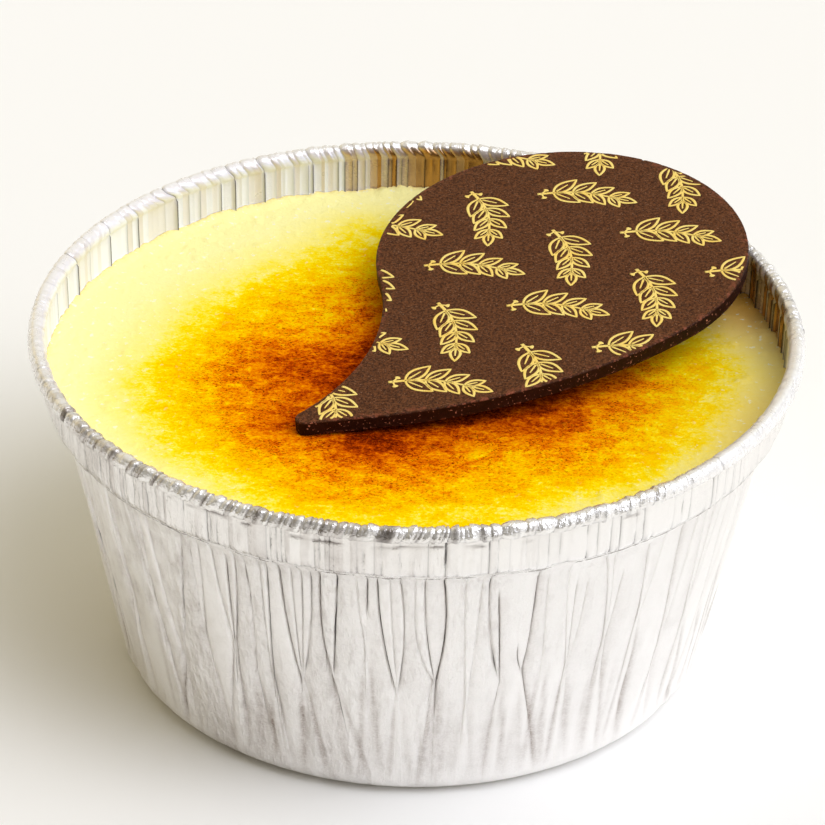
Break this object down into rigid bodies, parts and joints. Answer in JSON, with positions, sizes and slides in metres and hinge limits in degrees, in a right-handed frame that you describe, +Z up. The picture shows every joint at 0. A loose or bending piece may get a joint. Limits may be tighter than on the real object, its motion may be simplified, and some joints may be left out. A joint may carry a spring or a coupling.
{
  "type": "creme brulee",
  "caption": "Baked custard with a browned top in a round pleated foil cup, with a flat comma-shaped chocolate plaque leaning from the custard onto the rolled rim.",
  "frame": {"origin": "middle of the foil cup's underside, in the plane of the ring that it stands on", "axes": "+Z up; -Y is the side that the plaque's tip points past, with the tip at the front left and the plaque's round end over the rim at the back right"},
  "size_m": [0.0849, 0.085, 0.0425],
  "materials": {
    "foil": "bright pressed foil, finely crumpled, with darker creases",
    "custard": "moist satin, cream yellow at the edge, scorched amber to brown in the middle",
    "chocolate": "dark chocolate, matte with a fine grain and reddish crumbly edges",
    "gold_decor": "printed gold lines, satin"
  },
  "bodies": {
    "root": {"foil_cup": "foil", "custard": "custard", "chocolate_plaque": "chocolate"}
  },
  "joints": []
}
